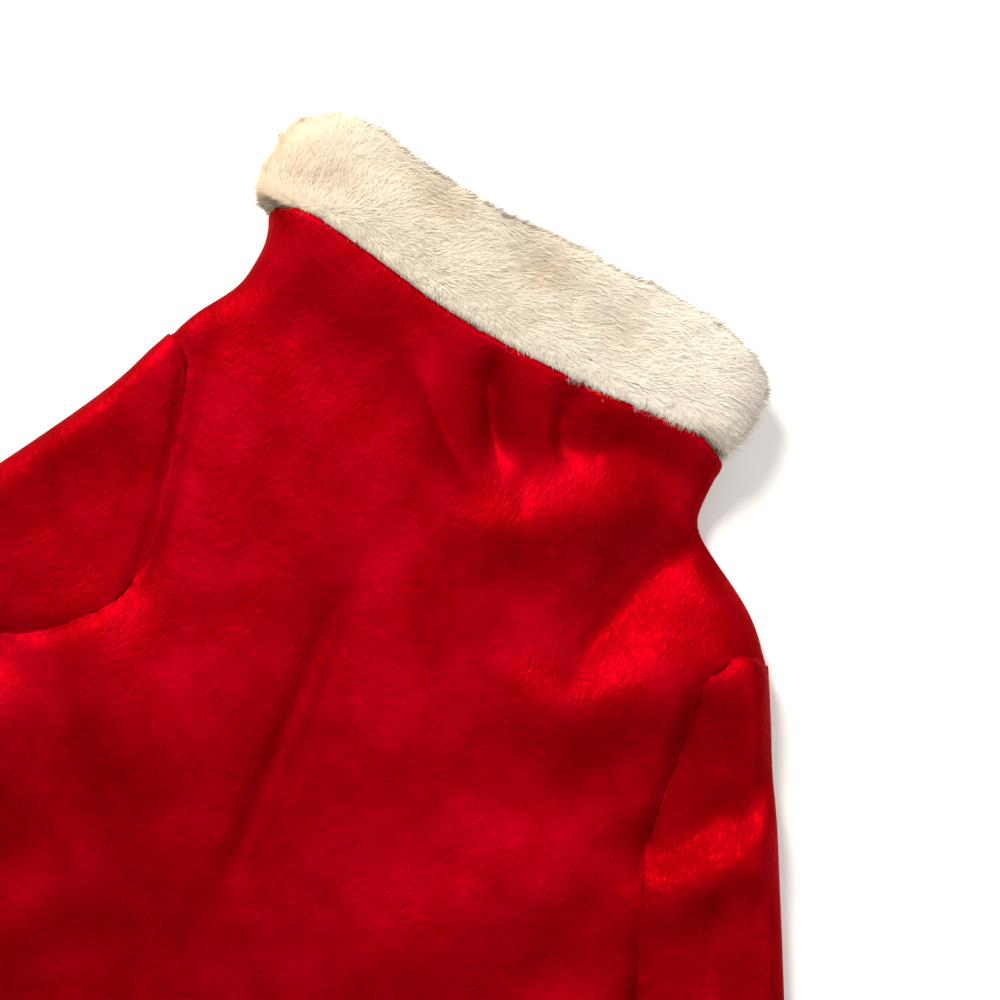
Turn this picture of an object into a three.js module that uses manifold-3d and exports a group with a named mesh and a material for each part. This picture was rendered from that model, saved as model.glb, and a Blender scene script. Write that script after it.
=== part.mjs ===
// A dog's dress of red plush with a white fur collar, laid out flat on its belly side, back up.
//
// It is cut as a back, a shorter front (chest and belly), two sleeves for the front legs and a collar, a fur
// strip folded double. The front lies flat on the surface. The back lies on it, wraps round both side folds
// and meets the front underneath. Each sleeve is a flattened tube that meets both panels at its armhole.
//
// Lengths are in millimetres. The cut's own frame has its zero in the middle of the neck seam: x runs across,
// to the wearer's right-hand edge of the sheet, and v runs down the back, from the neck seam to the hem.
// The finished part stands on Z = 0, with the neck towards +Y and its origin under the middle of its box.

import * as THREE from "three";
import { mergeVertices } from "three/addons/utils/BufferGeometryUtils.js";
import Module from "manifold-3d";

const wasm = await Module();
wasm.setup();

// ---- driving sizes

const PLUSH = 2.6; // the plush, pile and knitted back together
const SEAM_GAP = 0.3; // between pieces that are sewn together
const SIDE_SEAM_GAP = 0.7; // the same across the side seams, which run at a slant
const NECK_SEAM_GAP = 0.8; // and along the neck seam, which is curved
const LAYER_GAP = 1.6; // between the front and the back where they lie on each other
const BACK_LENGTH = 350; // neck seam to hem, down the back
const FRONT_LENGTH = 214; // neck seam to belly hem
const UNDER_WRAP = 5; // how far the back's edge turns in under the side fold
const UNDER_FLAT = 1; // how far it then lies flat
const FOLD_ROUND = 15; // how far in from a side fold the cloth starts to turn down
const FOLD_WAIST = 0.42; // height of a side fold's outermost line, as a share of the fold's height

const COLLAR_TOP = 26; // the flattened fur collar's height
const COLLAR_SPLIT = 12.2; // height of the slit between its two layers
const COLLAR_SLIT = 1.4; // half the slit's opening
const NECK_SEAM_TOP = 19.5; // height of the cloth where the upper layer is sewn to the collar

const LOW = PLUSH / 2; // the middle of a layer that lies on the surface
const LAID = PLUSH + LAYER_GAP + PLUSH / 2; // the middle of a layer that lies on another

// Outline of the body: how far its two side folds lie from the middle of the neck seam.
const BODY = [
  { v: 0, left: -92.5, right: 92.5 },
  { v: 10, left: -88.7, right: 93 },
  { v: 19, left: -88.3, right: 94.5 },
  { v: 24, left: -88.7, right: 98.5 },
  { v: 28, left: -90, right: 107 },
  { v: 33, left: -92.6, right: 117 },
  { v: 40, left: -96.6, right: 128 },
  { v: 50, left: -100.3, right: 137.5 },
  { v: 62, left: -103, right: 145 },
  { v: 80, left: -104, right: 152 },
  { v: 110, left: -102, right: 155 },
  { v: 150, left: -99, right: 155 },
  { v: 180, left: -96, right: 154 },
  { v: 214, left: -96, right: 153 },
  { v: 250, left: -99, right: 156 },
  { v: 350, left: -108, right: 165 },
];

// Armhole seams, from outside the shoulder fold to outside the underarm.
const ARMHOLES = {
  left: [
    [-116, 50], [-102, 54], [-93, 57], [-86, 68], [-77, 88], [-70, 105], [-64.5, 125],
    [-66, 145], [-78, 163], [-98, 177], [-103, 192], [-104, 240],
  ],
  right: [
    [152, 48], [139, 52], [128, 55], [123.4, 66], [123.4, 76], [127, 94], [131, 119],
    [140, 142], [150, 162], [156, 176], [160, 190], [163, 240],
  ],
};

// Sleeves: each row is a station down the sleeve, with the point on its outer and on its inner fold.
const SLEEVES = {
  left: [
    { outer: [-88.5, 24], inner: [-38, 168] },
    { outer: [-95, 38], inner: [-62, 172] },
    { outer: [-101.5, 56], inner: [-84, 175] },
    { outer: [-106, 74.5], inner: [-98, 178] },
    { outer: [-116, 99], inner: [-103, 188] },
    { outer: [-130, 129], inner: [-107, 198] },
    { outer: [-146, 161], inner: [-110, 207] },
    { outer: [-162, 193], inner: [-113, 216] },
  ],
  right: [
    { outer: [107, 28], inner: [108, 160] },
    { outer: [124.4, 37.5], inner: [130, 167] },
    { outer: [137, 50], inner: [148, 172] },
    { outer: [147, 65], inner: [156, 177] },
    { outer: [159.7, 86], inner: [160, 187] },
    { outer: [176, 112], inner: [165, 198] },
    { outer: [197, 147], inner: [170, 209] },
    { outer: [223, 191], inner: [175, 220] },
  ],
};

// The collar's outline: how high the fur stands above the neck seam.
const FUR_TOP = [
  { x: -110, v: -33 },
  { x: -100, v: -38 },
  { x: -88, v: -45.5 },
  { x: -72, v: -47.6 },
  { x: -50, v: -45.2 },
  { x: -24, v: -43.2 },
  { x: 4, v: -47 },
  { x: 22, v: -45 },
  { x: 50, v: -46.8 },
  { x: 72, v: -44.6 },
  { x: 86, v: -40 },
  { x: 100, v: -32 },
];

// How the neck seam lies across the upper layer.
const NECK_SEAM = [
  { x: -110, v: 0 },
  { x: -92, v: -2.5 },
  { x: -80, v: -6.2 },
  { x: -58, v: -4.8 },
  { x: -20, v: 0 },
  { x: 12, v: 0.6 },
  { x: 50, v: -1.8 },
  { x: 80, v: -5 },
  { x: 90, v: -2 },
  { x: 110, v: 0 },
];

// Folds and hollows of the upper layer, as curves from one point by way of another to a third. Rise is
// their height, reach is half their width at the foot, and lean makes the left foot shorter than the right.
const FOLDS = [
  // the side folds stand up
  { from: [-86, 42], via: [-106, 96], to: [-152, 190], rise: 2.5, reach: 12, lean: 0 },
  { from: [-84, 168], via: [-98, 190], to: [-112, 218], rise: 4, reach: 9, lean: 0 },
  { from: [130, 44], via: [160, 90], to: [222, 190], rise: 4.5, reach: 10, lean: 0 },
  { from: [142, 162], via: [160, 190], to: [174, 222], rise: 4, reach: 9, lean: 0 },
  { from: [138, 176], via: [141, 205], to: [140, 238], rise: 6, reach: 13, lean: 0 },
  { from: [-78, 178], via: [-84, 205], to: [-82, 238], rise: 6, reach: 13, lean: 0 },
  // valleys down the back
  { from: [-97, 22], via: [-82, 76], to: [-50, 170], rise: -3, reach: 8, lean: -0.2 },
  { from: [-6, 80], via: [9, 146], to: [26, 232], rise: -4, reach: 8, lean: -0.3 },
  // gathers under the neck seam, and the hollow to their right
  { from: [2, 0], via: [12, 20], to: [30, 42], rise: -5.5, reach: 6, lean: -0.15 },
  { from: [-28, 6], via: [-8, 36], to: [34, 50], rise: 2.5, reach: 7, lean: 0 },
  { from: [30, -1], via: [40, 11], to: [50, 30], rise: -5, reach: 7, lean: 0 },
  { from: [46, 9], via: [72, 16], to: [98, 13], rise: -5.5, reach: 9, lean: 0 },
  // the right shoulder: a valley between two folds
  { from: [18, 72], via: [50, 48], to: [92, 8], rise: 4, reach: 11, lean: 0 },
  { from: [106, 6], via: [77, 52], to: [85, 106], rise: -7.5, reach: 14, lean: -0.1 },
  { from: [60, 112], via: [108, 78], to: [160, 44], rise: 7, reach: 16, lean: 0 },
  { from: [122, 56], via: [134, 88], to: [144, 132], rise: -3.5, reach: 9, lean: 0 },
  // across the right sleeve a valley and a fold
  { from: [124, 142], via: [147, 108], to: [166, 82], rise: -3.5, reach: 9, lean: 0 },
  { from: [130, 152], via: [156, 123], to: [180, 88], rise: 5, reach: 9, lean: 0 },
  // broad swells, one across each flank
  { from: [58, 222], via: [96, 182], to: [116, 118], rise: 4.5, reach: 17, lean: 0 },
  { from: [-86, 150], via: [-46, 170], to: [-8, 196], rise: 3.5, reach: 20, lean: 0 },
  // waves that run out at the hem
  { from: [68, 210], via: [74, 290], to: [86, 430], rise: 8, reach: 15, lean: 0 },
  { from: [-34, 206], via: [-42, 290], to: [-56, 430], rise: 7, reach: 14, lean: 0 },
  { from: [118, 240], via: [124, 310], to: [134, 430], rise: 5, reach: 12, lean: 0 },
  { from: [18, 270], via: [20, 330], to: [14, 430], rise: 4, reach: 12, lean: 0 },
  { from: [-84, 250], via: [-86, 310], to: [-90, 430], rise: 4, reach: 10, lean: 0 },
];

// ---- curves through the tables

// The value of one column at a place, on a smooth curve through the table's rows.
function along(rows, place, at, column) {
  const last = rows.length - 1;
  if (at <= rows[0][place]) return rows[0][column];
  if (at >= rows[last][place]) return rows[last][column];
  let i = 0;
  while (rows[i + 1][place] < at) i += 1;
  const slope = (a, b) => (rows[b][column] - rows[a][column]) / (rows[b][place] - rows[a][place]);
  const span = rows[i + 1][place] - rows[i][place];
  const start = i > 0 ? slope(i - 1, i + 1) : slope(i, i + 1);
  const end = i < last - 1 ? slope(i, i + 2) : slope(i, i + 1);
  const s = (at - rows[i][place]) / span;
  const h = s * s * (3 - 2 * s);
  const g = s * (1 - s);
  return (1 - h) * rows[i][column] + h * rows[i + 1][column] + g * span * ((1 - s) * start - s * end);
}

const smooth = (s) => {
  const c = Math.min(Math.max(s, 0), 1);
  return c * c * (3 - 2 * c);
};

const mix = (a, b, s) => a + (b - a) * s;

// ---- the lie of the upper layer

const CURVE_STEPS = 10;
const FOLD_ENDS = 0.3; // the share of a fold's length over which it dies away at each end
const foldCurves = FOLDS.map(({ from, via, to }) =>
  new THREE.QuadraticBezierCurve(
    new THREE.Vector2(...from),
    new THREE.Vector2(...via),
    new THREE.Vector2(...to),
  ).getPoints(CURVE_STEPS),
);

function foldHeight(fold, curve, x, v) {
  let best = Infinity;
  let place = 0;
  let side = 0;
  for (let i = 0; i < CURVE_STEPS; i += 1) {
    const a = curve[i];
    const b = curve[i + 1];
    const ex = b.x - a.x;
    const ev = b.y - a.y;
    const s = Math.min(Math.max(((x - a.x) * ex + (v - a.y) * ev) / (ex * ex + ev * ev), 0), 1);
    const dx = x - a.x - s * ex;
    const dv = v - a.y - s * ev;
    const d = Math.hypot(dx, dv);
    if (d < best) {
      best = d;
      place = (i + s) / CURVE_STEPS;
      side = Math.sign(ev * dx - ex * dv);
    }
  }
  const foot = fold.reach * (1 + fold.lean * side);
  const ends = smooth(place / FOLD_ENDS) * smooth((1 - place) / FOLD_ENDS);
  return fold.rise * ends * Math.exp(-((best / foot) ** 2));
}

const NECK_SLOPE = 34; // how far down the back the thickness of the collar still lifts the cloth
const SWELL = { rise: 0.7, across: 47, down: 61 }; // a faint unevenness of the whole
// how far the back stands off what it lies on, between its valleys, and where that starts and dies away
const LOFT = { rise: 4.2, from: 20, over: 40, until: 176, away: 130 };

// Height of the middle of the upper layer.
function upperHeight(x, v) {
  const lift = (NECK_SEAM_TOP - LAID) * Math.exp(-((Math.max(v, 0) / NECK_SLOPE) ** 1.7));
  const swell = SWELL.rise * (1 + Math.sin(x / SWELL.across + 0.6) * Math.sin(v / SWELL.down));
  const loft = LOFT.rise * smooth((v - LOFT.from) / LOFT.over) * smooth(1 - (v - LOFT.until) / LOFT.away);
  let folds = 0;
  FOLDS.forEach((fold, i) => {
    folds += foldHeight(fold, foldCurves[i], x, v);
  });
  const belowFront = smooth((v - FRONT_LENGTH + 4) / 34); // past the belly hem the back lies on the surface
  const rest = mix(LAID, LOW + 0.3, belowFront);
  return rest + Math.max(lift + loft + swell * (1 - belowFront) + folds, 0);
}

// How far the neck seam lies below its straight line. Underneath it is straight.
function neckSeam(x, z) {
  return along(NECK_SEAM, "x", x, "v") * smooth((z - LOW) / (COLLAR_SPLIT - LOW));
}

// ---- walls

// A closed wall on a grid of points of its middle, half its thickness out on each side. Rows run down,
// columns across, and a ring closes each row on itself.
function wallGeometry(grid, thickness, ring = false) {
  const rows = grid.length;
  const columns = grid[0].length;
  const at = (i, j) => grid[i][ring ? (j + columns) % columns : Math.min(Math.max(j, 0), columns - 1)];
  const positions = [];
  for (const side of [1, -1]) {
    for (let i = 0; i < rows; i += 1) {
      for (let j = 0; j < columns; j += 1) {
        const down = at(Math.min(i + 1, rows - 1), j).clone().sub(at(Math.max(i - 1, 0), j));
        const across = at(i, j + 1).clone().sub(at(i, j - 1));
        const out = down.cross(across);
        if (!ring && (i === 0 || i === rows - 1)) out.y = 0; // the cut edges of a panel stand square
        out.normalize();
        positions.push(at(i, j).clone().addScaledVector(out, (side * thickness) / 2));
      }
    }
  }
  const index = [];
  // the shorter diagonal keeps slanting rows smooth
  const quad = (a, b, c, d) => {
    const level = positions[a].distanceTo(positions[c]) <= positions[b].distanceTo(positions[d]);
    if (level) index.push(a, b, c, a, c, d);
    else index.push(a, b, d, b, c, d);
  };
  const id = (side, i, j) => side * rows * columns + i * columns + (ring ? j % columns : j);
  const spans = ring ? columns : columns - 1;
  for (let i = 0; i < rows - 1; i += 1) {
    for (let j = 0; j < spans; j += 1) {
      quad(id(0, i, j), id(0, i + 1, j), id(0, i + 1, j + 1), id(0, i, j + 1));
      quad(id(1, i, j), id(1, i, j + 1), id(1, i + 1, j + 1), id(1, i + 1, j));
    }
  }
  for (let j = 0; j < spans; j += 1) {
    quad(id(0, 0, j), id(0, 0, j + 1), id(1, 0, j + 1), id(1, 0, j));
    quad(id(0, rows - 1, j), id(1, rows - 1, j), id(1, rows - 1, j + 1), id(0, rows - 1, j + 1));
  }
  if (!ring) {
    for (let i = 0; i < rows - 1; i += 1) {
      quad(id(0, i, 0), id(1, i, 0), id(1, i + 1, 0), id(0, i + 1, 0));
      quad(
        id(0, i, columns - 1), id(0, i + 1, columns - 1),
        id(1, i + 1, columns - 1), id(1, i, columns - 1),
      );
    }
  }
  return geometryOf(positions, index);
}

function geometryOf(points, index) {
  const geometry = new THREE.BufferGeometry();
  geometry.setAttribute("position", new THREE.Float32BufferAttribute(points.flatMap((p) => [p.x, p.y, p.z]), 3));
  geometry.setIndex(index);
  return geometry;
}

// A point of the cut's frame in the part's axes.
const point = (x, v, z) => new THREE.Vector3(x, -v, z);

// ---- cutting pieces along their seams

function solidOf(geometry) {
  const bare = new THREE.BufferGeometry();
  bare.setAttribute("position", geometry.getAttribute("position").clone());
  if (geometry.index) bare.setIndex(geometry.index.clone());
  const merged = mergeVertices(bare, 1e-4);
  return new wasm.Manifold(
    new wasm.Mesh({
      numProp: 3,
      vertProperties: new Float32Array(merged.getAttribute("position").array),
      triVerts: new Uint32Array(merged.index.array),
    }),
  );
}

function geometryFrom(solid) {
  const mesh = solid.getMesh();
  const geometry = new THREE.BufferGeometry();
  geometry.setAttribute("position", new THREE.BufferAttribute(new Float32Array(mesh.vertProperties), 3));
  geometry.setIndex(new THREE.BufferAttribute(new Uint32Array(mesh.triVerts), 1));
  return geometry;
}

// An upright block over an outline given in the cut's frame.
function block(outline, bottom, top) {
  const shape = new THREE.Shape(outline.map(([x, v]) => new THREE.Vector2(x, -v)));
  const geometry = new THREE.ExtrudeGeometry(shape, { depth: top - bottom, bevelEnabled: false });
  return geometry.translate(0, 0, bottom);
}

const SEAM_STEPS = 30;

// The armhole seam as a smooth line, moved square to itself by a small step towards the sleeve.
function armhole(side, step) {
  const curve = new THREE.SplineCurve(ARMHOLES[side].map(([x, v]) => new THREE.Vector2(x, v)));
  const outward = side === "right" ? 1 : -1;
  return curve.getPoints(SEAM_STEPS).map((p, i) => {
    const way = curve.getTangent(i / SEAM_STEPS);
    return [p.x + outward * step * way.y, p.y - outward * step * way.x];
  });
}

const FAR = 400; // past every edge of the garment

// Everything between the two armhole seams, grown or shrunk towards the sleeves.
function bodyBlock(step) {
  const right = armhole("right", step);
  const left = armhole("left", step);
  const outline = [
    [FAR, -FAR], [FAR, right[0][1]], ...right, [right.at(-1)[0], FAR],
    [left.at(-1)[0], FAR], ...left.reverse(), [-FAR, left.at(-1)[1]], [-FAR, -FAR],
  ];
  return solidOf(block(outline, -20, 80));
}

// ---- back

const range = (from, to, steps) => Array.from({ length: steps }, (_, i) => mix(from, to, i / steps));

const BACK_ROWS = [
  ...range(0, 60, 15), ...range(60, 180, 19), ...range(180, FRONT_LENGTH, 4),
  ...range(FRONT_LENGTH, BACK_LENGTH, 9), BACK_LENGTH,
];
const FLAT_COLUMNS = 36;

// Places round a side fold, in degrees from its outermost line: from under it to its top, and, where the
// edge lies open, from that line to the top.
const ROUND_FOLD = [-90, -84, -58, -28, 0, 22, 45, 68];
const ROUND_EDGE = [0, 11, 22, 33, 45, 56, 68, 80];

// Round a side fold, from its edge underneath to the foot of the flat top.
function foldSection(edge, inward, top, open = 0, waist = mix(LOW, top, FOLD_WAIST)) {
  return ROUND_FOLD.map((closed, k) => {
    const a = THREE.MathUtils.degToRad(mix(closed, ROUND_EDGE[k], open));
    const reach = a < 0 ? UNDER_WRAP : FOLD_ROUND;
    const height = a < 0 ? waist - LOW : top - waist;
    const hem = k === 0 ? UNDER_FLAT * (1 - open) : 0;
    return [edge + inward * (reach * (1 - Math.cos(a)) + hem), waist + height * Math.sin(a)];
  });
}

// One row across the back: under the left fold, over it, across, and down and under the right fold.
function backRow(v) {
  // past the belly hem the side edges come out from under, then lie down
  const open = smooth((v - FRONT_LENGTH) / 16);
  const down = smooth((v - FRONT_LENGTH - 10) / 24);
  const [left, right] = ["left", "right"].map((column) => {
    const inward = column === "left" ? 1 : -1;
    const edge = along(BODY, "v", v, column) + inward * LOW;
    const turn = edge + inward * FOLD_ROUND;
    const top = upperHeight(turn, v);
    return { turn, points: foldSection(edge, inward, top, open, mix(LOW, top, FOLD_WAIST * (1 - down))) };
  });
  const flat = [];
  for (let k = 0; k <= FLAT_COLUMNS; k += 1) {
    const x = mix(left.turn, right.turn, k / FLAT_COLUMNS);
    flat.push([x, upperHeight(x, v)]);
  }
  const section = [...left.points, ...flat, ...right.points.reverse()];
  const dip = smooth(1 - v / 40); // the seam's own curve dies out down the back
  return section.map(([x, z]) => point(x, v + NECK_SEAM_GAP / 2 + neckSeam(x, z) * dip, z));
}

function backGeometry() {
  const whole = solidOf(wallGeometry(BACK_ROWS.map(backRow), PLUSH));
  return geometryFrom(whole.intersect(bodyBlock(-SEAM_GAP / 2)));
}

// ---- front

function frontGeometry() {
  const inset = LOW + UNDER_WRAP + UNDER_FLAT + SIDE_SEAM_GAP;
  const rows = BACK_ROWS.filter((v) => v <= FRONT_LENGTH);
  const right = rows.map((v) => [along(BODY, "v", v, "right") - inset, v + NECK_SEAM_GAP / 2]);
  const left = rows.map((v) => [along(BODY, "v", v, "left") + inset, v + NECK_SEAM_GAP / 2]);
  const plate = solidOf(block([...right, ...left.reverse()], 0, PLUSH));
  return geometryFrom(plate.intersect(bodyBlock(-SEAM_GAP / 2)));
}

// ---- sleeves

const SLEEVE_ROWS = 20;
const SLEEVE_FLAT = 9;

// One loop round a sleeve between its outer and inner fold.
function sleeveRing(side, s) {
  const stations = SLEEVES[side].map((row, i) => ({
    i, ox: row.outer[0], ov: row.outer[1], nx: row.inner[0], nv: row.inner[1],
  }));
  const at = s * (stations.length - 1);
  const outer = new THREE.Vector2(along(stations, "i", at, "ox"), along(stations, "i", at, "ov"));
  const inner = new THREE.Vector2(along(stations, "i", at, "nx"), along(stations, "i", at, "nv"));
  const way = inner.clone().sub(outer);
  const width = way.length();
  way.normalize();
  const section = [];
  const ends = [
    { edge: LOW, inward: 1 },
    { edge: width - LOW, inward: -1 },
  ].map((end) => {
    const turn = end.edge + end.inward * FOLD_ROUND;
    const place = outer.clone().addScaledVector(way, turn);
    return { ...end, turn, top: upperHeight(place.x, place.y) };
  });
  section.push(...foldSection(ends[0].edge, 1, ends[0].top));
  for (let k = 0; k <= SLEEVE_FLAT; k += 1) {
    const d = mix(ends[0].turn, ends[1].turn, k / SLEEVE_FLAT);
    const place = outer.clone().addScaledVector(way, d);
    section.push([d, upperHeight(place.x, place.y)]);
  }
  section.push(...foldSection(ends[1].edge, -1, ends[1].top).reverse());
  const bottom = section.at(-1)[0];
  for (let k = 1; k < SLEEVE_FLAT; k += 1) section.push([mix(bottom, ends[0].edge + UNDER_WRAP, k / SLEEVE_FLAT), LOW]);
  const ring = section.map(([d, z]) => {
    const place = outer.clone().addScaledVector(way, d);
    return point(place.x, place.y, z);
  });
  return side === "left" ? ring : ring.reverse();
}

function sleeveGeometry(side) {
  const rings = [];
  for (let i = 0; i <= SLEEVE_ROWS; i += 1) rings.push(sleeveRing(side, i / SLEEVE_ROWS));
  const whole = solidOf(wallGeometry(rings, PLUSH, true));
  return geometryFrom(whole.subtract(bodyBlock(SEAM_GAP / 2)));
}

// ---- collar

const COLLAR_COLUMNS = 60;
const COLLAR_LEFT = -103.5;
const COLLAR_RIGHT = 95;
const SLIT_INSET = 12; // from the collar's side folds to the ends of its slit
const FUR_LUMPS = { rise: 0.8, count: 9 };

// The collar's wall from the inner seam edge, up the inside, over the top edge and down the outside.
// Height is the share of the way up the collar. Outer is 0 on the slit and 1 on the outside.
const COLLAR_PROFILE = [
  { height: 0, outer: 0.1 },
  { height: 0.25, outer: 0 },
  { height: 0.6, outer: 0 },
  { height: 0.85, outer: 0.06 },
  { height: 0.97, outer: 0.3 },
  { height: 1, outer: 0.55 },
  { height: 0.965, outer: 0.82 },
  { height: 0.86, outer: 0.97 },
  { height: 0.6, outer: 1 },
  { height: 0.3, outer: 1 },
  { height: 0.12, outer: 0.93 },
  { height: 0, outer: 0.62 },
];

// A point on a flattened loop with straight runs and half-round ends.
function loopPoint(left, right, bottom, top, turn) {
  const round = Math.min((top - bottom) / 2, (right - left) / 2);
  const c = Math.cos(turn);
  const s = Math.sin(turn);
  const x = (left + right) / 2 + ((right - left) / 2) * Math.sign(c) * Math.abs(c) ** 0.62;
  const near = Math.min(Math.max(Math.min(x - left, right - x), 0), round) / round;
  const z = (bottom + top) / 2 + Math.sign(s) * ((top - bottom) / 2) * Math.sqrt(Math.max(1 - (1 - near) ** 2, 0));
  return { x, z };
}

function collarGeometry() {
  const rings = COLLAR_PROFILE.map(({ height, outer }) => {
    const ring = [];
    for (let k = 0; k < COLLAR_COLUMNS; k += 1) {
      const turn = ((k + 0.5) / COLLAR_COLUMNS) * 2 * Math.PI;
      const fur = loopPoint(COLLAR_LEFT, COLLAR_RIGHT, 0, COLLAR_TOP, turn);
      const slit = loopPoint(
        COLLAR_LEFT + SLIT_INSET, COLLAR_RIGHT - SLIT_INSET,
        COLLAR_SPLIT - COLLAR_SLIT, COLLAR_SPLIT + COLLAR_SLIT, turn,
      );
      const x = mix(slit.x, fur.x, outer);
      const z = mix(slit.z, fur.z, outer);
      const upper = smooth((z - COLLAR_SPLIT) / 5 + 0.5); // 0 on the collar's lower layer
      const seam = neckSeam(x, z) - NECK_SEAM_GAP / 2;
      const lump = FUR_LUMPS.rise * Math.sin(FUR_LUMPS.count * turn) * outer * height * upper;
      const v = mix(seam, along(FUR_TOP, "x", x, "v"), height);
      ring.push(point(x, v, Math.max(z + lump, 0)));
    }
    return ring;
  });
  const index = [];
  const id = (i, k) => (i % rings.length) * COLLAR_COLUMNS + (k % COLLAR_COLUMNS);
  for (let i = 0; i < rings.length; i += 1) {
    for (let k = 0; k < COLLAR_COLUMNS; k += 1) {
      index.push(id(i, k), id(i + 1, k + 1), id(i + 1, k), id(i, k), id(i, k + 1), id(i + 1, k + 1));
    }
  }
  return geometryOf(rings.flat(), index);
}

// ---- the garment

const plush = new THREE.MeshStandardMaterial({ color: 0xa8000c, roughness: 0.7, metalness: 0 });
const fur = new THREE.MeshStandardMaterial({ color: 0xf1e6d2, roughness: 0.95, metalness: 0 });

const garment = new THREE.Group();
const pieces = [
  ["front", frontGeometry(), plush],
  ["back", backGeometry(), plush],
  ["sleeve_left", sleeveGeometry("left"), plush],
  ["sleeve_right", sleeveGeometry("right"), plush],
  ["collar", collarGeometry(), fur],
];
for (const [name, geometry, material] of pieces) {
  const mesh = new THREE.Mesh(geometry, material);
  mesh.name = name;
  garment.add(mesh);
}

const box = new THREE.Box3().setFromObject(garment);
garment.position.set(-(box.min.x + box.max.x) / 2, -(box.min.y + box.max.y) / 2, 0);

export default garment;
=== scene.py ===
import math

import bpy
import numpy as np
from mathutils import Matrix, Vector, kdtree


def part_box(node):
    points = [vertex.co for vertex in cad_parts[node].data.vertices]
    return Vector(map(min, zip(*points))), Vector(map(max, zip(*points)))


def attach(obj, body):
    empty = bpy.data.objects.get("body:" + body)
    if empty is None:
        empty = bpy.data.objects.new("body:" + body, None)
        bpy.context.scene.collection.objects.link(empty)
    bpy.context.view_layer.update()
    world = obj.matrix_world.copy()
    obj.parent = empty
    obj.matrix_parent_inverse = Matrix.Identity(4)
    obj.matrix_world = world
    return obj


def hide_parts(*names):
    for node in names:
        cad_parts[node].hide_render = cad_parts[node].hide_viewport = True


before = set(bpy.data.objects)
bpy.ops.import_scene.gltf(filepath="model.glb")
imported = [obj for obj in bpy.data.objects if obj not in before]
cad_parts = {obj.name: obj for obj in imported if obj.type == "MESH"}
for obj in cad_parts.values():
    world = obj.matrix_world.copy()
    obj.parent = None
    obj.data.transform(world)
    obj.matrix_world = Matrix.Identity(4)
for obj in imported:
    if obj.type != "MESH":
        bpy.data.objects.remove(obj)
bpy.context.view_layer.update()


# ---- Table and light ------------------------------------------------------------------------------
# The dress lies on a plain white table. A soft lamp stands far off beyond the left end of the collar, a
# weaker one hangs overhead, and the room is pale all round.
LOOK_AT = Vector((0.0008, 0.1046, 0.008))
LOOK_FROM = (30.0, 80.0, 0.4796)  # degrees round, degrees up, metres away
VIEW_ANGLE = 40  # degrees across the picture
SENSOR = 36  # millimetres
TABLE_GAP = 0.0003  # keeps the table's surface apart from the cloth's

round_, up = math.radians(LOOK_FROM[0]), math.radians(LOOK_FROM[1])
towards = Vector((math.sin(round_) * math.cos(up), -math.cos(round_) * math.cos(up), math.sin(up)))
bpy.ops.object.camera_add(
    location=LOOK_AT + towards * LOOK_FROM[2],
    rotation=(-towards).to_track_quat("-Z", "Y").to_euler(),
)
camera = bpy.context.active_object
camera.data.sensor_width = SENSOR
camera.data.lens = SENSOR / 2 / math.tan(math.radians(VIEW_ANGLE / 2))
camera.data.clip_start = 0.01
bpy.context.scene.camera = camera
bpy.context.scene.view_settings.view_transform = "Standard"

bpy.ops.mesh.primitive_plane_add(size=8, location=(0, 0, -TABLE_GAP))
table = bpy.context.active_object
table.name = "table"
white = bpy.data.materials.new("white table")
white.use_nodes = True
white_shader = white.node_tree.nodes["Principled BSDF"]
white_shader.inputs["Base Color"].default_value = (0.93, 0.93, 0.93, 1)
white_shader.inputs["Roughness"].default_value = 0.9
white_shader.inputs["Specular IOR Level"].default_value = 0.1
table.data.materials.append(white)


def lamp(name, place, size, power, colour):
    place = Vector(place)
    bpy.ops.object.light_add(type="AREA", location=place)
    light = bpy.context.active_object
    light.name = name
    light.rotation_euler = (LOOK_AT - place).to_track_quat("-Z", "Y").to_euler()
    light.data.shape = "DISK"
    light.data.size = size
    light.data.energy = power
    light.data.color = colour


lamp("side lamp", (-1.18, 0.85, 1.09), 0.70, 50, (1, 0.94, 0.84))
lamp("overhead lamp", (0.40, 0.40, 1.3), 0.9, 7.5, (1, 0.96, 0.90))
room = bpy.data.worlds.new("pale room")
room.use_nodes = True
room.node_tree.nodes["Background"].inputs["Color"].default_value = (1, 1, 1, 1)
room.node_tree.nodes["Background"].inputs["Strength"].default_value = 0.38
bpy.context.scene.world = room


# ---- Back -----------------------------------------------------------------------------------------
# One panel of red plush, a knitted back with a short, glossy pile. It is turned in at the neck, sewn to
# the fur strip, and wraps round both sides, where it meets the front underneath.
ZERO = (-0.0305, 0.1513)  # the middle of the neck seam, seen from above
PILE_OVER = 0.0004  # the pile stands proud of the knitted back
PILE_ACROSS_SEAM = 0.0006  # and fills the seams
SEAM_DIP, SEAM_WIDTH = 0.0011, 0.0032  # the stitches draw the cloth down on both sides of a seam
DIP_FROM, DIP_OVER = 0.015, 0.012  # they start this far below the neck seam, and grow over so much
UPPER_FROM, UPPER_OVER = 3.2, 3  # millimetres up where creases and dips start, and grow over
SAME_CORNER = 0.00035  # corners of a solid closer than this are one
SHARP_EDGE = 55  # degrees
SEWN_WITHIN = 0.0012  # a sharp edge this near to another piece is sewn to it
OPEN_EDGE_CREASE = 0.5  # how far an edge that isn't sewn keeps from being rounded off
CREASE_STEPS, CREASE_ENDS = 16, 0.3  # steps along a crease, and the share that fades at each end
seams = {}  # places along each panel's sewn edges

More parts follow.
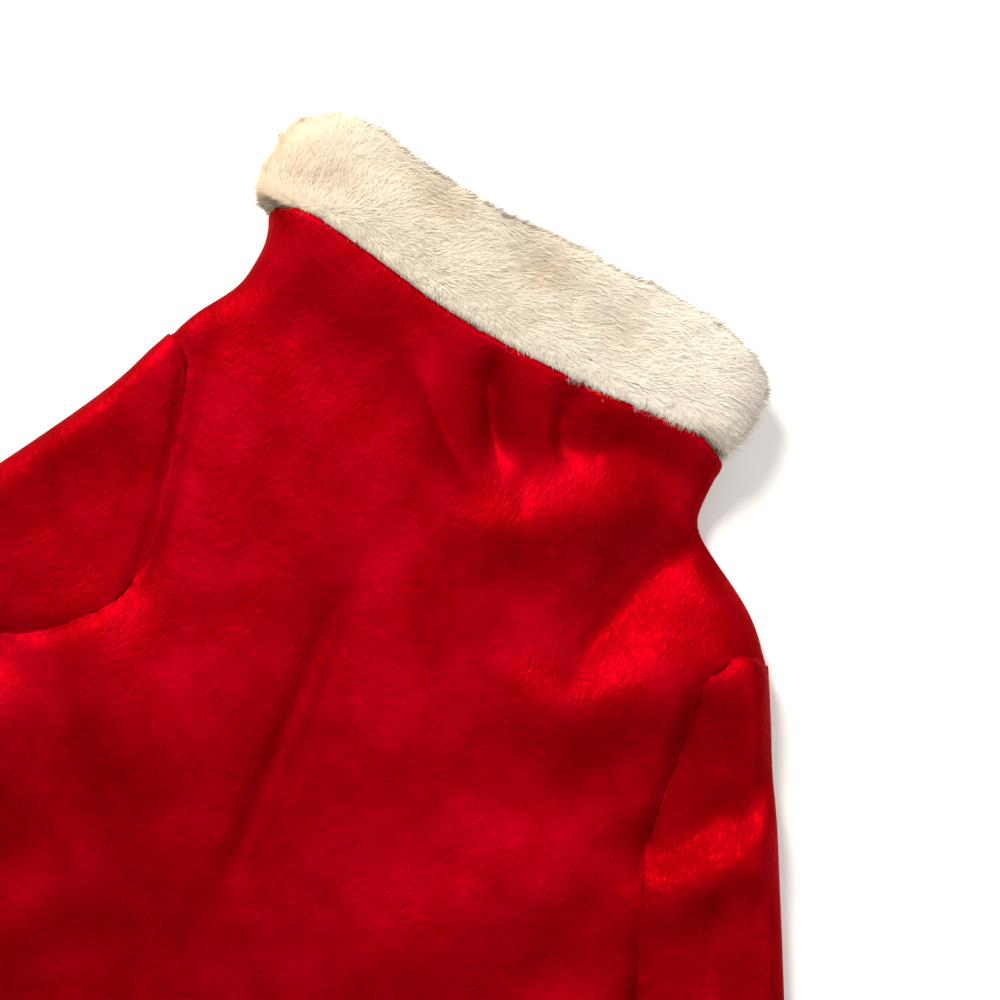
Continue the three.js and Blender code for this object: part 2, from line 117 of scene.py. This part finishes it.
# Small creases that the panels' own folds leave between them, in millimetres across and down from the
# middle of the neck seam. Rise is the height, reach half the width at the foot.
CREASES = (
    # the sharp bottoms of the long valleys
    dict(start=(-95, 30), way=(-81, 78), end=(-52, 162), rise=-1.6, reach=3.8),
    dict(start=(-2, 78), way=(8, 146), end=(21, 222), rise=-2.6, reach=4.6),
    dict(start=(100, 22), way=(80, 54), end=(84, 100), rise=-1.4, reach=4.0),
    # gathers under the collar
    dict(start=(4, 5), way=(12, 19), end=(25, 38), rise=-1.6, reach=3.0),
    dict(start=(-18, 18), way=(-4, 36), end=(26, 50), rise=0.9, reach=2.6),
    dict(start=(33, 8), way=(38, 14), end=(43, 26), rise=-1.2, reach=2.4),
    dict(start=(47, 4), way=(50, 10), end=(55, 24), rise=-1.2, reach=2.6),
    dict(start=(32, 30), way=(36, 40), end=(44, 54), rise=-0.6, reach=2.8),
    dict(start=(-66, 3), way=(-60, 20), end=(-62, 44), rise=-0.5, reach=4.5),
    dict(start=(-40, 3), way=(-34, 16), end=(-33, 34), rise=-0.5, reach=4.0),
    # at the right shoulder and down the right sleeve
    dict(start=(124, 66), way=(130, 90), end=(136, 124), rise=-0.9, reach=3.6),
    dict(start=(136, 66), way=(146, 88), end=(150, 108), rise=-0.8, reach=3.0),
    dict(start=(158, 122), way=(166, 140), end=(176, 164), rise=-1.1, reach=3.2),
    dict(start=(168, 112), way=(176, 130), end=(188, 158), rise=-1.1, reach=3.2),
    # at the left sleeve
    dict(start=(-118, 110), way=(-104, 122), end=(-96, 142), rise=-0.9, reach=4.0),
    dict(start=(-142, 150), way=(-126, 158), end=(-110, 176), rise=-0.9, reach=4.0),
    # over the back and down to the hem
    dict(start=(46, 60), way=(56, 76), end=(66, 100), rise=-0.6, reach=7),
    dict(start=(-36, 84), way=(-26, 110), end=(-28, 146), rise=-0.7, reach=8),
    dict(start=(36, 150), way=(44, 186), end=(50, 236), rise=-0.9, reach=7),
    dict(start=(-56, 176), way=(-42, 206), end=(-40, 254), rise=-1.0, reach=8),
    dict(start=(-10, 280), way=(-6, 310), end=(-4, 349), rise=-0.9, reach=7),
    dict(start=(50, 270), way=(46, 300), end=(44, 349), rise=-0.9, reach=6),
)


def crease_lift(across, down):
    """How far the creases lift the cloth at each place, in millimetres."""
    lift = np.zeros_like(across)
    for crease in CREASES:
        t = np.linspace(0, 1, CREASE_STEPS + 1)[:, None]
        start, way, end = (np.array(crease[k], float) for k in ("start", "way", "end"))
        path = (1 - t) ** 2 * start + 2 * t * (1 - t) * way + t**2 * end
        away = np.full(across.shape, 1e9)
        along = np.zeros_like(across)
        for i, (a, b) in enumerate(zip(path[:-1], path[1:])):
            s = ((across - a[0]) * (b - a)[0] + (down - a[1]) * (b - a)[1]) / np.dot(b - a, b - a)
            s = np.clip(s, 0, 1)
            far = np.hypot(across - a[0] - s * (b - a)[0], down - a[1] - s * (b - a)[1])
            nearer = far < away
            away[nearer] = far[nearer]
            along[nearer] = ((i + s) / CREASE_STEPS)[nearer]
        fade = np.clip(along / CREASE_ENDS, 0, 1) * np.clip((1 - along) / CREASE_ENDS, 0, 1)
        fade = fade * fade * (3 - 2 * fade)
        lift += crease["rise"] * fade * np.exp(-((away / crease["reach"]) ** 2))
    return lift


def places_along(mesh, edge, apart):
    """Places along an edge, no further apart than this, with both its corners."""
    a, b = (mesh.vertices[i].co for i in edge.vertices)
    steps = int((b - a).length / apart) + 1
    return [a.lerp(b, step / steps) for step in range(steps + 1)]


def tree_of(places):
    tree = kdtree.KDTree(len(places))
    for i, place in enumerate(places):
        tree.insert(place, i)
    tree.balance()
    return tree


def read_vertices(mesh, what):
    """The places ("co") or the normals ("normal") of a mesh's vertices."""
    values = np.empty(len(mesh.vertices) * 3)
    mesh.vertices.foreach_get(what, values)
    return values.reshape(-1, 3)


def subdivide(panel, levels):
    finer = panel.modifiers.new("finer", "SUBSURF")
    finer.levels = finer.render_levels = levels
    bpy.ops.object.modifier_apply(modifier=finer.name)


def own_copy(node, name):
    """A panel cut from its solid: its loose triangles joined up and made into even quads."""
    bpy.ops.object.select_all(action="DESELECT")
    panel = bpy.data.objects.new(name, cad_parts[node].data.copy())
    panel.data.name = name
    panel.data.materials.clear()
    bpy.context.collection.objects.link(panel)
    bpy.context.view_layer.objects.active = panel
    panel.select_set(True)
    bpy.ops.object.mode_set(mode="EDIT")
    bpy.ops.mesh.select_all(action="SELECT")
    bpy.ops.mesh.remove_doubles(threshold=SAME_CORNER)
    bpy.ops.mesh.tris_convert_to_quads(face_threshold=math.radians(50), shape_threshold=math.radians(70))
    bpy.ops.mesh.select_all(action="DESELECT")
    bpy.ops.mesh.select_mode(type="EDGE")
    bpy.ops.mesh.edges_select_sharp(sharpness=math.radians(SHARP_EDGE))
    bpy.ops.object.mode_set(mode="OBJECT")
    # edges that are sewn to another piece stay square and meet it flush, and open ones are rounded
    neighbours = []
    for piece in [piece for other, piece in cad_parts.items() if other != node]:
        for edge in piece.data.edges:
            neighbours += places_along(piece.data, edge, 0.0015)[:-1]
    near = tree_of(neighbours)
    crease = panel.data.attributes.new("crease_edge", "FLOAT", "EDGE")
    seam = panel.data.attributes.new("seam", "FLOAT", "POINT")
    seams[node] = []
    for edge in [edge for edge in panel.data.edges if edge.select]:
        sewn = min(near.find(panel.data.vertices[i].co)[2] for i in edge.vertices) < SEWN_WITHIN
        crease.data[edge.index].value = 1.0 if sewn else OPEN_EDGE_CREASE
        if sewn:
            seams[node] += places_along(panel.data, edge, 0.001)
            for i in edge.vertices:
                seam.data[i].value = 1.0
    return panel


def soften(panel, node, levels):
    """Rounds the panel's facets and turned edges, then presses seams and creases into its upper layer."""
    subdivide(panel, levels)
    co, out = read_vertices(panel.data, "co"), read_vertices(panel.data, "normal")
    high = np.clip((co[:, 2] * 1000 - UPPER_FROM) / UPPER_OVER, 0, 1)
    co += out * PILE_OVER
    seam = np.empty(len(panel.data.vertices))
    panel.data.attributes["seam"].data.foreach_get("value", seam)
    co[:, :2] += out[:, :2] * seam[:, None] * PILE_ACROSS_SEAM
    co[:, 2] = np.maximum(co[:, 2], 0)
    co[:, 2] += high * crease_lift((co[:, 0] - ZERO[0]) * 1000, (ZERO[1] - co[:, 1]) * 1000) / 1000
    sewn_edge = tree_of(seams[node])
    away = np.array([sewn_edge.find(place)[2] for place in co])
    below_neck = np.clip(((ZERO[1] - co[:, 1]) - DIP_FROM) / DIP_OVER, 0, 1)
    co[:, 2] -= high * below_neck * SEAM_DIP * np.exp(-((away / SEAM_WIDTH) ** 2))
    panel.data.vertices.foreach_set("co", co.ravel())
    panel.data.update()
    bpy.ops.object.shade_smooth_by_angle(angle=math.radians(50))


def plush_material():
    """Red plush: the pile leans in soft patches, and single fibres glint where the light falls on them."""
    material = bpy.data.materials.new("red plush")
    material.use_nodes = True
    nodes, links = material.node_tree.nodes, material.node_tree.links
    shader = nodes["Principled BSDF"]
    shader.inputs["Metallic"].default_value = 0.49
    shader.inputs["Specular IOR Level"].default_value = 0.02
    shader.inputs["Specular Tint"].default_value = (1, 0.02, 0.06, 1)
    shader.inputs["Sheen Weight"].default_value = 0.15
    shader.inputs["Sheen Roughness"].default_value = 0.4
    shader.inputs["Sheen Tint"].default_value = (1, 0.01, 0.02, 1)
    place = nodes.new("ShaderNodeTexCoord").outputs["Object"]

    def noise(scale, detail, stretch=(1, 1, 1), turn=0.0):
        lay = nodes.new("ShaderNodeMapping")
        lay.inputs["Scale"].default_value = stretch
        lay.inputs["Rotation"].default_value = (0, 0, turn)
        links.new(place, lay.inputs["Vector"])
        made = nodes.new("ShaderNodeTexNoise")
        made.inputs["Scale"].default_value = scale
        made.inputs["Detail"].default_value = detail
        links.new(lay.outputs["Vector"], made.inputs["Vector"])
        return made.outputs["Fac"]

    def ramp(value, stops):
        made = nodes.new("ShaderNodeValToRGB")
        while len(made.color_ramp.elements) < len(stops):
            made.color_ramp.elements.new(0.5)
        for element, (where, colour) in zip(made.color_ramp.elements, stops):
            element.position = where
            element.color = (*colour, 1)
        links.new(value, made.inputs["Fac"])
        return made.outputs["Color"]

    def blend(kind, amount, one, other):
        made = nodes.new("ShaderNodeMix")
        made.data_type = "RGBA"
        made.blend_type = kind
        made.inputs["Factor"].default_value = amount
        links.new(one, made.inputs["A"])
        links.new(other, made.inputs["B"])
        return made.outputs["Result"]

    def grey(level):
        return (level, level, level)

    reds = [(0.3, (0.20, 0.0, 0.0015)), (0.5, (0.26, 0.0, 0.003)), (0.7, (0.34, 0.0, 0.007))]
    patches = ramp(noise(42, 4), reds)
    lean = ramp(noise(260, 3, (1, 0.5, 1), 0.5), [(0.35, grey(0.92)), (0.65, grey(1))])
    links.new(blend("MULTIPLY", 0.8, patches, lean), shader.inputs["Base Color"])
    glint = ramp(noise(900, 2, (1, 0.45, 1), 0.6), [(0.56, grey(0.54)), (0.70, grey(0.33))])
    links.new(glint, shader.inputs["Roughness"])

    pile = nodes.new("ShaderNodeBump")
    pile.inputs["Strength"].default_value = 0.5
    pile.inputs["Distance"].default_value = 0.0007
    links.new(noise(820, 3, (1, 0.45, 1), 0.6), pile.inputs["Height"])
    nap = nodes.new("ShaderNodeBump")
    nap.inputs["Strength"].default_value = 0.22
    nap.inputs["Distance"].default_value = 0.0010
    links.new(noise(110, 2), nap.inputs["Height"])
    links.new(pile.outputs["Normal"], nap.inputs["Normal"])
    links.new(nap.outputs["Normal"], shader.inputs["Normal"])
    return material


plush = plush_material()
back = own_copy("back", "back_panel")
soften(back, "back", 2)
back.data.materials.append(plush)
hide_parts("back")
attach(back, "root")


# ---- Front ----------------------------------------------------------------------------------------
# The chest and belly panel, a shorter piece of the same plush. It lies flat on the table, under the back.
front = own_copy("front", "front_panel")
soften(front, "front", 1)
front.data.materials.append(plush)
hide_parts("front")
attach(front, "root")


# ---- Sleeves --------------------------------------------------------------------------------------
# Two tubes of the same plush for the front legs, each sewn round its armhole and turned in at the cuff.
for side in ("left", "right"):
    sleeve = own_copy(f"sleeve_{side}", f"sleeve_{side}_tube")
    soften(sleeve, f"sleeve_{side}", 2)
    sleeve.data.materials.append(plush)
    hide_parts(f"sleeve_{side}")
    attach(sleeve, "root")


# ---- Collar ---------------------------------------------------------------------------------------
# A strip of ivory fur folded double, fur side out, and sewn round the neck. The strip is the cloth that
# the fur is knitted into. It lies a few millimetres inside the fur's outer reach.
FUR_DEPTH = 0.0038
STRIP_WIDTH = 0.046
END_ROUND = 0.014  # how far in from the strip's two ends the fur stands out all round
PRESSED = 0.004  # below this height the fur is pressed flat against the table
STRIP_LOW, STRIP_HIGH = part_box("collar")

strip = own_copy("collar", "collar_strip")
subdivide(strip, 2)
mesh = strip.data
co, normal = read_vertices(mesh, "co"), read_vertices(mesh, "normal")
middle = (STRIP_LOW[2] + STRIP_HIGH[2]) / 2 - 0.001
outside = np.clip((np.sign(co[:, 2] - middle) * normal[:, 2] + 0.5) / 0.5, 0, 1)
ends = np.clip((np.abs(normal[:, 0]) - 0.3) / 0.4, 0, 1) * (
    np.abs(co[:, 0] - (STRIP_LOW[0] + STRIP_HIGH[0]) / 2) > (STRIP_HIGH[0] - STRIP_LOW[0]) / 2 - 0.010
)
top_edge = np.clip((normal[:, 1] - 0.3) / 0.4, 0, 1) * (co[:, 1] > STRIP_HIGH[1] - 0.016)
inwards = np.maximum(np.maximum(outside, ends), top_edge)[:, None]

# the neck seam, where the strip's upper layer meets the back
along_seam = co[(co[:, 2] > middle + 0.003) & (co[:, 1] < STRIP_LOW[1] + 0.009)]
SEAM_LINE = []
for x in np.linspace(STRIP_LOW[0] + 0.004, STRIP_HIGH[0] - 0.004, 25):
    beside = along_seam[np.abs(along_seam[:, 0] - x) < 0.006]
    if len(beside):
        SEAM_LINE.append((x, beside[:, 1].min()))


def above_seam(place):
    """How far up the collar a place lies, 0 at the neck seam and 1 at the top edge."""
    x, y = zip(*SEAM_LINE)
    return (place[:, 1] - np.interp(place[:, 0], x, y)) / STRIP_WIDTH


def from_end(place):
    """How far in from the nearer end of the strip a place lies."""
    return np.minimum(place[:, 0] - STRIP_LOW[0], STRIP_HIGH[0] - place[:, 0])


# Hollows pressed into the fur, a little wider than they are high; the fibres in them are also painted
# darker, as painted shade.
DEEPEST = 0.0016
DIMPLES = (
    dict(x=-0.027, y=0.180, size=0.013, depth=DEEPEST),
    dict(x=-0.070, y=0.184, size=0.010, depth=0.0012),
    dict(x=0.006, y=0.174, size=0.012, depth=0.0009),
    dict(x=-0.104, y=0.172, size=0.009, depth=0.0009),
)


def dimple(place):
    """How deep the fur is pressed in at each place, in metres."""
    depth = np.zeros(len(place))
    for hollow in DIMPLES:
        across = (place[:, 0] - hollow["x"]) / hollow["size"]
        along = (place[:, 1] - hollow["y"]) / (hollow["size"] * 0.7)
        depth += hollow["depth"] * np.exp(-(across**2 + along**2))
    return depth


# beside the seam the strip comes up to the plush, but not at its two ends
at_ends = np.clip(1.6 - from_end(co) / END_ROUND, 0, 1)
seam_side = np.maximum(np.clip(above_seam(co) / 0.2, 0.2, 1), at_ends)
seam_side = np.maximum(seam_side, normal[:, 2] < 0.2)[:, None]
under = np.clip((PRESSED - co[:, 2]) / PRESSED, 0, 1)[:, None]
co -= normal * inwards * FUR_DEPTH * (1 - 0.7 * under) * seam_side
co[:, 2] -= (inwards[:, 0] > 0.5) * (normal[:, 2] > 0) * dimple(co)
mesh.vertices.foreach_set("co", co.ravel())
mesh.update()
bpy.ops.object.shade_smooth()


def fur_material():
    """Ivory fur, whiter at the tips of its fibres than at their roots."""
    material = bpy.data.materials.new("ivory fur")
    material.use_nodes = True
    nodes, links = material.node_tree.nodes, material.node_tree.links
    shader = nodes["Principled BSDF"]
    shader.inputs["Roughness"].default_value = 0.8
    shader.inputs["Specular IOR Level"].default_value = 0.2
    shader.inputs["Sheen Weight"].default_value = 0.2
    shader.inputs["Sheen Tint"].default_value = (1, 0.95, 0.86, 1)
    shade = nodes.new("ShaderNodeAttribute")
    shade.attribute_name = "shade"
    # the ramp runs from tan to ivory; its tan end also shows the painted shade that the fibres' shade
    # attribute carries
    tone = nodes.new("ShaderNodeValToRGB")
    tone.color_ramp.elements[0].color = (0.62, 0.47, 0.31, 1)
    tone.color_ramp.elements[1].color = (0.99, 0.92, 0.80, 1)
    links.new(shade.outputs["Fac"], tone.inputs["Fac"])
    links.new(tone.outputs["Color"], shader.inputs["Base Color"])
    return material


fur = fur_material()
roots_shade = mesh.attributes.new("shade", "FLOAT", "POINT")
roots_shade.data.foreach_set("value", np.full(len(mesh.vertices), 0.6, np.float32))
strip.data.materials.append(fur)
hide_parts("collar")
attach(strip, "root")


# ---- Fur ------------------------------------------------------------------------------------------
# The collar's fur: a dense coat of short straight fibres, with longer ones bent over it, brushed along the
# band. The fibres are rooted in the strip, and the lowest lie over the neck seam.
COAT = (
    dict(strands=65000, reach=0.0044, lift=0.20, bent=False, stray=0.02),
    dict(strands=65000, reach=0.0047, lift=0.17, bent=False, stray=0.02),
    dict(strands=65000, reach=0.0050, lift=0.14, bent=False, stray=0.02),
    dict(strands=14000, reach=0.0058, lift=0.14, bent=True, stray=0.06),
)
CLUMPS = 3600
ROOT_HALF, BEND_HALF = 0.00014, 0.00010  # half a fibre's width at its root and at its bend
UNDERNEATH = 0.25  # the share of the coat that is left on the strip's underside
rng = np.random.default_rng(7)

mesh.calc_loop_triangles()
corners = np.empty(len(mesh.loop_triangles) * 3, np.int32)
mesh.loop_triangles.foreach_get("vertices", corners)
corners = corners.reshape(-1, 3)
normal = read_vertices(mesh, "normal")
face = co[corners]
face_area = np.linalg.norm(np.cross(face[:, 1] - face[:, 0], face[:, 2] - face[:, 0]), axis=1) / 2
faces_down = normal[corners, 2].mean(axis=1) < -0.5
face_fur = inwards[corners, 0].mean(axis=1) * np.where(faces_down, UNDERNEATH, 1.0)
root_chance = face_area * face_fur / (face_area * face_fur).sum()


def unit(v):
    return v / np.maximum(np.linalg.norm(v, axis=1, keepdims=True), 1e-12)


def waves(points, size, seed):
    """A smooth random number from -1 to 1 at each point, changing over about the given size."""
    turn = np.random.default_rng(seed)
    total = np.zeros(len(points))
    for _ in range(6):
        way = turn.normal(size=3)
        along = points @ (way / np.linalg.norm(way)) * (2 * np.pi / size)
        total += np.sin(along * turn.uniform(0.7, 1.4) + turn.uniform(0, 7))
    return total / 3


def pick_roots(count):
    """Places on the strip, evenly spread where it bears fur, and the way out of it at each."""
    chosen = rng.choice(len(corners), count, p=root_chance)
    a, b = rng.random((2, count, 1))
    flip = (a + b) > 1
    a, b = np.where(flip, 1 - a, a), np.where(flip, 1 - b, b)
    tri, norm = co[corners[chosen]], normal[corners[chosen]]
    place = tri[:, 0] + a * (tri[:, 1] - tri[:, 0]) + b * (tri[:, 2] - tri[:, 0])
    return place, unit(norm[:, 0] + a * (norm[:, 1] - norm[:, 0]) + b * (norm[:, 2] - norm[:, 0]))


def brushed(place, out):
    """The way the fur is brushed at each root, along the strip."""
    # 0 at the left end, 1 at the right
    across = (place[:, 0] - STRIP_LOW[0]) / (STRIP_HIGH[0] - STRIP_LOW[0])
    height = above_seam(place)
    way = np.stack([
        np.where(across < 0.25, -1 + across * 8, 1.0),
        0.2 + 0.8 * np.clip(height - 0.7, 0, 1) + 0.9 * np.exp(-((across - 0.13) / 0.1) ** 2)
        - 2.2 * np.exp(-((height / 0.10) ** 2)),
        np.zeros(len(place)),
    ], axis=1)
    swirl = 0.35 * waves(place, 0.03, 3) + 0.30 * waves(place, 0.007, 4)
    c, s = np.cos(swirl), np.sin(swirl)
    way = np.stack([c * way[:, 0] - s * way[:, 1], s * way[:, 0] + c * way[:, 1], way[:, 2]], axis=1)
    way -= out * (way * out).sum(axis=1, keepdims=True)
    return unit(way)


clump_place, clump_out = pick_roots(CLUMPS)
clump_tree = tree_of(clump_place)
clump_way = unit(brushed(clump_place, clump_out) + 0.25 * rng.normal(size=clump_place.shape))

for lot, layer in enumerate(COAT):
    count = layer["strands"]
    place, out = pick_roots(count)
    clump = np.array([clump_tree.find(p)[1] for p in place])
    # beside the seam the fibres lie down, but not at the two ends, which stand out all round
    at_ends = np.clip(1 - from_end(place) / END_ROUND, 0, 1)
    low = np.maximum(np.clip(above_seam(place) / 0.2, 0.4, 1), at_ends)
    reach = layer["reach"] * (1 + 0.15 * waves(place, 0.012, 9))
    reach = reach * rng.uniform(0.7, 1.1, count) * (0.35 + 0.65 * low)
    edge = np.clip((0.8 - np.abs(out[:, 2])) / 0.4, 0, 1)  # round the edges the fibres stand out more
    reach *= 1 + edge * np.where(rng.random(count) < 0.22, rng.uniform(0.4, 1.0, count), 0.1)
    lift = layer["lift"] * low + 0.7 * edge + 0.04 * rng.normal(size=count)
    strays = rng.random(count) < layer["stray"] + 0.3 * edge
    lift += np.where(strays, rng.uniform(0.1, 0.8, count), 0) * low
    lift = np.clip(lift, 0.06, 1.6)[:, None]
    way = 0.75 * brushed(place, out) + 0.25 * clump_way[clump]
    way = unit(way + 0.28 * rng.normal(size=place.shape))
    way = unit(way - out * (way * out).sum(axis=1, keepdims=True))
    bend = place + unit(out * (0.3 + lift) + way * 0.85) * (reach * 0.45)[:, None]
    tip = bend + unit(out * lift * 0.6 + way) * (reach * 0.55)[:, None]
    gather = clump_place[clump] + clump_out[clump] * 0.003 + clump_way[clump] * 0.005
    apart = np.linalg.norm(gather - tip, axis=1, keepdims=True)
    tip += 0.15 * (gather - tip) * np.clip(1 - apart / 0.012, 0, 1)
    over = np.exp(-((above_seam(place) / 0.10) ** 2)) * np.clip(out[:, 2] * 3, 0, 1)  # over the seam
    bend[:, 2] = np.maximum(bend[:, 2], place[:, 2] + 0.0008 * over)
    tip[:, 2] = np.where(over > 0.3, np.maximum(tip[:, 2], place[:, 2] + 0.0007 * over), tip[:, 2])
    bend[:, 2] = np.maximum(bend[:, 2], 0.0003)
    tip[:, 2] = np.maximum(tip[:, 2], 0.0002)
    side = unit(np.cross(out, tip - place))
    other = unit(np.cross(tip - place, side))

    # each fibre is a thin three-sided cone, its broad side outwards: rings of three corners, then its tip
    rings = [(place, ROOT_HALF)] + ([(bend, BEND_HALF)] if layer["bent"] else [])
    points = []
    for ring, half in rings:
        points += [ring + side * half, ring - side * half, ring - other * half / 2]
    points = np.stack(points + [tip], axis=1)
    each = 3 * len(rings) + 1
    first = (np.arange(count) * each)[:, None]
    last_ring = first + 3 * (len(rings) - 1)
    faces = []
    for k in range(3):
        after = (k + 1) % 3
        if layer["bent"]:
            between = [first + k, first + after, first + 3 + after, first + 3 + k]
            faces += np.concatenate(between, axis=1).tolist()
        faces += np.concatenate([last_ring + k, last_ring + after, first + each - 1], axis=1).tolist()
    lot_mesh = bpy.data.meshes.new(f"collar_fur_{lot + 1}")
    lot_mesh.from_pydata(points.reshape(-1, 3).tolist(), [], faces)
    root_to_tip = [0.82] * 3 + ([0.92] * 3 if layer["bent"] else []) + [1.0]
    # The fibres are painted darker towards the ramp's tan end: painted shade in the dimples, round the
    # edges, at the left end and over the left half, and tan that differs at random in the waves. So tan
    # below is partly painted shade.
    left_end = np.exp(-(((place[:, 0] - STRIP_LOW[0]) / 0.022) ** 2))
    left_half = np.clip((0.03 - place[:, 0]) / 0.10, 0, 1)
    tan = 0.50 * dimple(place) / DEEPEST + 0.15 * np.clip(waves(place, 0.04, 11), 0, 1)
    tan += 0.12 * edge + 0.50 * left_end + 0.28 * left_half
    tan = tan[:, None]
    strand_shade = rng.uniform(-0.04, 0.04, count)[:, None] + np.array([root_to_tip]) - tan
    shade = lot_mesh.attributes.new("shade", "FLOAT", "POINT")
    shade.data.foreach_set("value", np.clip(strand_shade, 0, 1).ravel().astype(np.float32))
    lot_mesh.polygons.foreach_set("use_smooth", np.ones(len(lot_mesh.polygons), bool))
    # so fine a fibre takes the light as the fur round it does
    beside_seam = np.exp(-((above_seam(place) / 0.25) ** 2)) * np.clip(out[:, 2] * 3 + 1, 0, 1)
    lighter = np.maximum(1.2 * beside_seam, 0.7 * edge)[:, None]
    around = np.repeat(unit(out + lighter * np.array([0, 0, 1])), each, axis=0)
    own = unit(points.reshape(-1, 3) - np.repeat((place + tip) / 2, each, axis=0))
    lot_mesh.normals_split_custom_set_from_vertices(unit(around + 0.08 * own).tolist())
    lot_mesh.materials.append(fur)
    strands = bpy.data.objects.new(lot_mesh.name, lot_mesh)
    bpy.context.collection.objects.link(strands)
    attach(strands, "root")
